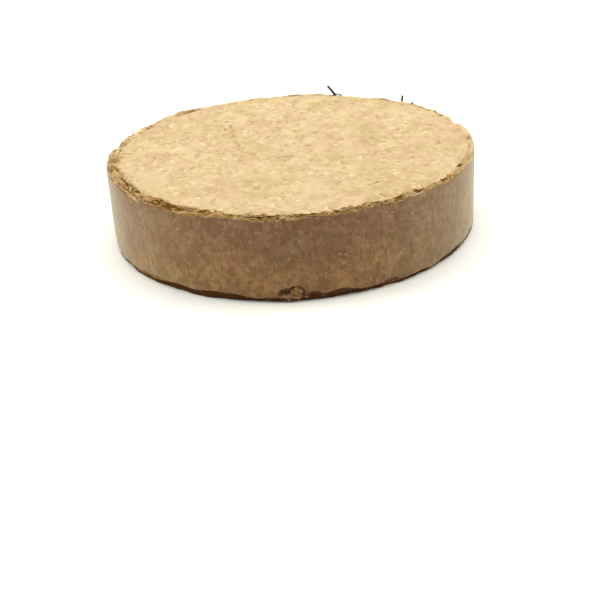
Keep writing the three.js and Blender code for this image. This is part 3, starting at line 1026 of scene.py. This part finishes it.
def laid_tree(name, lie, material, shape=unit_sliver, where=None):
    """Slivers or grains that lie in a surface, each with its own size, turn and tone.

    Where is the name of the attribute that says how densely they lie.
    """
    sheet, given = new_tree(name, LAID_INPUTS)
    density = given["Per Area"]
    if where:
        named = sheet.node("GeometryNodeInputNamedAttribute", {"data_type": "FLOAT"}, Name=where)
        density = density * sheet.wire(named)
    scatter = sheet.node(
        "GeometryNodeDistributePointsOnFaces", (), Mesh=given["Surface"], Density=density, Seed=given["Seed"]
    )
    normal = sheet.wire(scatter, "Normal")
    points = sheet.node(
        "GeometryNodeSetPosition", (), Geometry=sheet.wire(scatter, "Points"),
        Offset=sheet.scaled(normal, 0 - given["Sunk"]),
    )
    laid = sheet.node(
        "GeometryNodeInstanceOnPoints", (),
        Points=stored(sheet, points, "POINT", "FLOAT_VECTOR", "facing", normal), Instance=shape(sheet),
        Rotation=lying_rotation(sheet, given, lie, normal), Scale=random_size(sheet, given),
    )
    tone = random_number(sheet, 0.0, 1.0, given["Seed"] + 7)
    toned = stored(sheet, laid, "INSTANCE", "FLOAT", "tone", tone)
    real = sheet.wire(sheet.node("GeometryNodeRealizeInstances", (), Geometry=toned))
    finish_tree(sheet, curled(sheet, real, given), material)
    return sheet.tree


def curled(sheet, shape, given):
    """Bends everything by noise in space: sideways by the curl, and out of the surface by the lift.

    Nothing goes below what the disc rests on.
    """
    place = sheet.wire(sheet.node("GeometryNodeInputPosition"))
    facing = sheet.wire(
        sheet.node("GeometryNodeInputNamedAttribute", {"data_type": "FLOAT_VECTOR"}, Name="facing")
    )
    waves = sheet.noise(place, given["Curl Size"], 1.0, output="Color")
    waves = sheet.vector("SUBTRACT", waves, (0.5, 0.5, 0.5))
    outwards = sheet.vector("DOT_PRODUCT", waves, facing, output="Value")
    sideways = sheet.vector("SUBTRACT", waves, sheet.scaled(facing, outwards))
    offset = sheet.vector(
        "ADD", sheet.scaled(sideways, given["Curl"]), sheet.scaled(facing, outwards * given["Lift"])
    )
    there = sheet.node("ShaderNodeSeparateXYZ", (), Vector=sheet.vector("ADD", place, offset))
    level = sheet.maths("MAXIMUM", sheet.wire(there, 2), GROUND_GAP)
    above_ground = sheet.node(
        "ShaderNodeCombineXYZ", (), X=sheet.wire(there, 0), Y=sheet.wire(there, 1), Z=level
    )
    moved = sheet.node("GeometryNodeSetPosition", (), Geometry=shape, Position=sheet.wire(above_ground))
    plain = sheet.node("GeometryNodeRemoveAttribute", (), Geometry=sheet.wire(moved), Name="facing")
    return sheet.wire(plain)


def finish_tree(sheet, shape, material):
    crisp = sheet.node("GeometryNodeSetShadeSmooth", (), Geometry=shape, Shade_Smooth=False)
    coloured = sheet.node("GeometryNodeSetMaterial", (), Geometry=sheet.wire(crisp), Material=material)
    result = sheet.tree.nodes.new("NodeGroupOutput")
    sheet.tree.links.new(sheet.wire(coloured).socket, result.inputs["Result"])


def grow(name, patch, tree, sizes):
    """Runs a tree on a patch of the cake's surface and keeps the result as a plain mesh."""
    host = bpy.data.objects.new(name + "_patch", patch)
    bpy.context.scene.collection.objects.link(host)
    modifier = host.modifiers.new("grow", "NODES")
    modifier.node_group = tree
    for item in tree.interface.items_tree:
        if item.item_type == "SOCKET" and item.name in sizes:
            modifier[item.identifier] = sizes[item.name]
    graph = bpy.context.evaluated_depsgraph_get()
    mesh = bpy.data.meshes.new_from_object(
        host.evaluated_get(graph), preserve_all_data_layers=True, depsgraph=graph
    )
    host.modifiers.remove(modifier)
    bpy.data.objects.remove(host)
    add_piece(name, mesh)


def add_piece(name, mesh):
    piece = bpy.data.objects.new(name, mesh)
    bpy.context.scene.collection.objects.link(piece)
    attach(piece, BODY)
    return piece


# The pieces.


def laid_sizes(per_area, seed, length, width, thickness, sunk, turn, tilt, roll, curl, curl_size, lift):
    """The inputs of a laid tree, from a count for each square millimetre, millimetres and degrees."""
    return {
        "Per Area": per_area / MM ** 2,
        "Seed": seed,
        "Shortest": length[0] * MM,
        "Longest": length[1] * MM,
        "Narrowest": width[0] * MM,
        "Widest": width[1] * MM,
        "Thickness": thickness * MM,
        "Sunk": sunk * MM,
        "Turn": math.radians(turn),
        "Tilt": math.radians(tilt),
        "Roll": math.radians(roll),
        "Curl": curl * MM,
        "Curl Size": curl_size * MM,
        "Lift": lift * MM,
    }


def lay(name, grid, rows, lie, material, shape=unit_sliver, where=None, **sizes):
    """A piece of slivers or grains that lie in a band of the cake, between two rows of its outline."""
    patch = patch_mesh(name + "_ground", *grid, *rows)
    tree = laid_tree(name + "_layout", lie, material, shape, where)
    grow(name, patch, tree, laid_sizes(**sizes))


def pressed_cake(grid):
    mesh = cake_mesh(*grid)
    mesh.materials.append(pressed_coir("face_coir", 0.0, 0.0, FACE_BUMP))
    mesh.materials.append(pressed_coir("wall_coir", WALL_SHEEN, WALL_GLOSS, WALL_BUMP))
    cake = add_piece("pressed_cake", mesh)
    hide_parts("coir_disc")


def face_flakes(grid):
    """Flattened flakes that make up the punched face."""
    lay(
        "face_flakes", grid, (FACE_EDGE_ROW + 1, CENTRE_ROW), "any", flake_material("straw_flakes"),
        per_area=0.34, seed=3, length=(1.2, 3.6), width=(0.9, 2.2), thickness=0.08, sunk=0.012,
        turn=180, tilt=0.7, roll=1.4, curl=2.2, curl_size=2.2, lift=0.04,
    )


def face_slivers(grid):
    """Narrow curled slivers on top of the face's flakes, some of them pale and some of them deep."""
    material = flake_material("straw_slivers", deep=0.55, pale=0.9)
    lay(
        "face_slivers", grid, (FACE_EDGE_ROW + 0.5, CENTRE_ROW), "any", material, shape=unit_curl,
        per_area=0.09, seed=33, length=(0.8, 3.8), width=(0.5, 1.1), thickness=0.11, sunk=0.0,
        turn=180, tilt=0.5, roll=1.0, curl=3.2, curl_size=2.4, lift=0.05,
    )


def edge_flakes(grid):
    """Flakes that lie along the punched face's edge."""
    material = flake_material("edge_straw", at_edge=True)
    lay(
        "edge_flakes", grid, (FACE_EDGE_ROW - 0.1, FACE_EDGE_ROW + 1), "round", material,
        per_area=1.1, seed=13, length=(0.8, 2.8), width=(0.3, 0.9), thickness=0.18, sunk=0.03,
        turn=40, tilt=2, roll=5, curl=1.2, curl_size=2.0, lift=0.2,
    )


def base_flakes(grid):
    """The same flakes on the face that the disc rests on."""
    lay(
        "base_flakes", grid, (0, BASE_EDGE_ROW - 0.8), "any", flake_material("underside_straw"),
        per_area=0.6, seed=23, length=(1.4, 4.6), width=(0.3, 1.1), thickness=0.16, sunk=0.045,
        turn=180, tilt=0.4, roll=1.0, curl=1.6, curl_size=2.6, lift=0.05,
    )


def wall_fibres(grid):
    """Short fibres pressed into the moulded wall."""
    material = fibre_material(
        "husk_fibres", HUSK, HUSK_LIGHT, HUSK_DARK, 0.9, 0.35, sheen=WALL_SHEEN, specular=WALL_GLOSS
    )
    lay(
        "wall_fibres", grid, (FOOT_ROW + 0.3, WALL_HEAD_ROW), "upright", material,
        per_area=0.2, seed=43, length=(0.6, 2.0), width=(0.3, 0.8), thickness=0.06, sunk=0.022,
        turn=90, tilt=0.4, roll=1.0, curl=0.9, curl_size=1.6, lift=0.03,
    )


def border_fibres(grid):
    """Fibres and flakes of the border, along the rim."""
    material = fibre_material("border_fibres", GOLD, STRAW_YELLOW, LIGHTENED_CRACK_BROWN, 0.6, 0.45, of_border=True)
    lay(
        "border_fibres", grid, (WALL_HEAD_ROW + 0.4, CRACK_ROW - 0.3), "round", material, where="hairy",
        per_area=0.9, seed=63, length=(0.8, 3.0), width=(0.3, 0.75), thickness=0.24, sunk=0.0,
        turn=22, tilt=6, roll=20, curl=0.7, curl_size=1.8, lift=0.5,
    )


def crack_flakes(grid):
    """Ends of flakes in the side of the crack, under the punched face's edge."""
    material = fibre_material("crack_flakes", CRACK_GOLD, GOLD, LIGHTENED_CRACK_BROWN, 0.6, 0.6)
    lay(
        "crack_flakes", grid, (CRACK_ROW - 0.2, FACE_EDGE_ROW + 0.1), "round", material, where="frayed",
        per_area=1.8, seed=143, length=(0.6, 2.4), width=(0.2, 0.5), thickness=0.28, sunk=0.0,
        turn=20, tilt=8, roll=20, curl=0.5, curl_size=1.6, lift=0.5,
    )


def loose_flakes(grid):
    """Loose flakes across the border where it has come apart."""
    material = fibre_material("loose_flakes", GOLD, STRAW_YELLOW, BORDER_BROWN, 0.5, 0.4, of_border=True)
    lay(
        "loose_flakes", grid, (WALL_HEAD_ROW + 1, FACE_EDGE_ROW + 0.5), "round", material, where="bridged",
        per_area=1.2, seed=83, length=(0.9, 2.8), width=(0.3, 0.8), thickness=0.22, sunk=0.0,
        turn=50, tilt=9, roll=25, curl=0.9, curl_size=2.0, lift=0.6,
    )


def foot_grains(grid):
    """Dark grains along the crumbled foot of the wall, in its brown that is partly painted contact shadow."""
    material = fibre_material("foot_grains", FOOT_BROWN_AND_SHADOW, HUSK_DARK, FOOT_BROWN_AND_SHADOW, 0.75, 0.4)
    lay(
        "foot_grains", grid, (BASE_EDGE_ROW, FOOT_ROW + 0.1), "round", material, shape=unit_grain,
        per_area=1.6, seed=103, length=(0.3, 1.0), width=(0.2, 0.5), thickness=0.3, sunk=0.06,
        turn=60, tilt=20, roll=20, curl=0.35, curl_size=0.7, lift=0.35,
    )


def chip_grains(grid):
    """Crumbs in the chipped places of the lower edge."""
    material = fibre_material("chip_grains", HUSK, CRUMB_GOLD, CHIP_BROWN, 0.6, 0.4)
    lay(
        "chip_grains", grid, (BASE_EDGE_ROW + 0.5, WALL_FOOT_ROW + 1), "round", material,
        shape=unit_grain, where="crumbled",
        per_area=2.4, seed=123, length=(0.3, 1.1), width=(0.2, 0.6), thickness=0.35, sunk=0.05,
        turn=60, tilt=20, roll=20, curl=0.35, curl_size=0.7, lift=0.35,
    )


def drawn_fibres(name, fibres, material, flatness=1.0):
    """Single fibres along given lines in mm, thinner towards the tip.

    Lines without heights lie on the upper face. Flat fibres are pressed into it.
    """
    curve = bpy.data.curves.new(name, "CURVE")
    curve.dimensions = "3D"
    curve.bevel_depth = 1.0
    curve.bevel_resolution = 2
    curve.resolution_u = 6
    curve.use_fill_caps = True
    for radius, line in fibres:
        spline = curve.splines.new("BEZIER")
        spline.bezier_points.add(len(line) - 1)
        for index, (knot, place) in enumerate(zip(spline.bezier_points, line)):
            level = place[2] * MM if len(place) == 3 else DISC_HEIGHT
            knot.co = (place[0] * MM, place[1] * MM, level)
            knot.handle_left_type = "AUTO"
            knot.handle_right_type = "AUTO"
            knot.radius = radius * MM * (1.0 - FIBRE_TAPER * index / (len(line) - 1))
    holder = bpy.data.objects.new(name + "_lines", curve)
    bpy.context.scene.collection.objects.link(holder)
    graph = bpy.context.evaluated_depsgraph_get()
    mesh = bpy.data.meshes.new_from_object(holder.evaluated_get(graph), depsgraph=graph)
    bpy.data.objects.remove(holder)
    for vertex in mesh.vertices:
        vertex.co.z = DISC_HEIGHT + (vertex.co.z - DISC_HEIGHT) * flatness
    add_share(mesh, "tone", np.full(len(mesh.vertices), MIDDLE_TONE))
    mesh.shade_smooth()
    mesh.materials.clear()
    mesh.materials.append(material)
    add_piece(name, mesh)


def on_wall(points, marks):
    """Lines on the wall, in mm, from bearings and heights. Most of each is sunk in the wall's surface."""
    surface = points.reshape(-1, 3)
    lines = []
    for radius, line in marks:
        placed = []
        for bearing, height in line:
            near = np.linalg.norm(surface - on_disc(bearing, DISC_RADIUS, height * MM), axis=1).argmin()
            out = np.hypot(*surface[near, :2]) - MARK_SINKING * (radius * MM)
            placed.append(tuple(on_disc(bearing, out / MM, height)))
        lines.append((radius, placed))
    return lines


def single_fibres(grid):
    """The fibres and grains that are told apart one by one, on the face, in the wall and at the rim."""
    points = grid[0]
    dark = fibre_material("dark_fibre", FIBRE_DARK, HUSK, HUSK_DARK)
    drawn_fibres("stray_fibres", STRAY_FIBRES, dark)
    brown = fibre_material("brown_fibre", HUSK_LIGHT, HUSK, HUSK)
    drawn_fibres("face_fibres", DARK_MARKS, brown, flatness=0.6)
    pale = fibre_material("pale_flake", STRAW_LIGHT, STRAW_LIGHT, STRAW_YELLOW)
    drawn_fibres("pale_flakes", PALE_MARKS, pale, flatness=0.3)
    # Painted shade: brown lines drawn where the wall has small splits.
    split_shade_brown = fibre_material("split_shade_brown", SPLIT_SHADE_BROWN, HUSK, SPLIT_SHADE_BROWN)
    drawn_fibres("wall_split_shades", on_wall(points, WALL_SPLIT_SHADES), split_shade_brown)
    pale_husk = fibre_material("pale_husk", PALE_HUSK, HUSK, HUSK)
    drawn_fibres("wall_flakes", on_wall(points, WALL_FLAKES), pale_husk)


# The studio.


def add_floor():
    mesh = bpy.data.meshes.new("floor")
    low, high = -FLOOR_REACH, FLOOR_REACH
    mesh.from_pydata([(low, low, 0), (high, low, 0), (high, high, 0), (low, high, 0)], [], [(0, 1, 2, 3)])
    material, sheet = new_material("floor")
    sockets = {"Base Color": FLOOR_COLOUR, "Roughness": FLOOR_ROUGHNESS, "Specular IOR Level": FLOOR_GLOSS}
    shader = sheet.node("ShaderNodeBsdfPrincipled", (), **sockets)
    sheet.node("ShaderNodeOutputMaterial", (), Surface=sheet.wire(shader))
    mesh.materials.append(material)
    floor = bpy.data.objects.new("floor", mesh)
    bpy.context.scene.collection.objects.link(floor)


def add_softbox(name, place, width, height, power, colour):
    """A rectangular soft light that faces the disc."""
    light = bpy.data.lights.new(name, "AREA")
    light.color = colour
    light.shape = "RECTANGLE"
    light.size = width
    light.size_y = height
    light.energy = power
    lamp = bpy.data.objects.new(name, light)
    aim = Vector((0, 0, DISC_HEIGHT)) - Vector(place)
    lamp.rotation_euler = aim.to_track_quat("-Z", "Y").to_euler()
    lamp.location = place
    bpy.context.scene.collection.objects.link(lamp)


def add_lights():
    world = bpy.data.worlds.new("studio")
    world.use_nodes = True
    background = world.node_tree.nodes["Background"]
    background.inputs["Color"].default_value = (1, 1, 1, 1)
    background.inputs["Strength"].default_value = LIGHT_ALL_ROUND
    bpy.context.scene.world = world
    for softbox in SOFTBOXES:
        add_softbox(*softbox)


def add_camera():
    yaw, pitch, roll = (math.radians(angle) for angle in (CAMERA_YAW, CAMERA_PITCH, CAMERA_ROLL))
    ahead = Vector((math.sin(yaw) * math.cos(pitch), math.cos(yaw) * math.cos(pitch), -math.sin(pitch)))
    level = Vector((math.cos(yaw), -math.sin(yaw), 0))
    above = level.cross(ahead)
    right = level * math.cos(roll) + above * math.sin(roll)
    up = above * math.cos(roll) - level * math.sin(roll)
    data = bpy.data.cameras.new("camera")
    data.lens = CAMERA_LENS
    data.sensor_width = CAMERA_SENSOR
    data.clip_start = 0.01
    camera = bpy.data.objects.new("camera", data)
    camera.matrix_world = Matrix.Translation(CAMERA_PLACE) @ Matrix((right, up, -ahead)).transposed().to_4x4()
    bpy.context.scene.collection.objects.link(camera)
    bpy.context.scene.camera = camera


def build():
    add_camera()
    add_lights()
    add_floor()
    bpy.context.scene.view_settings.view_transform = "Standard"
    grid = cake_grid()
    pressed_cake(grid)
    face_flakes(grid)
    face_slivers(grid)
    edge_flakes(grid)
    base_flakes(grid)
    wall_fibres(grid)
    border_fibres(grid)
    crack_flakes(grid)
    loose_flakes(grid)
    foot_grains(grid)
    chip_grains(grid)
    single_fibres(grid)


build()
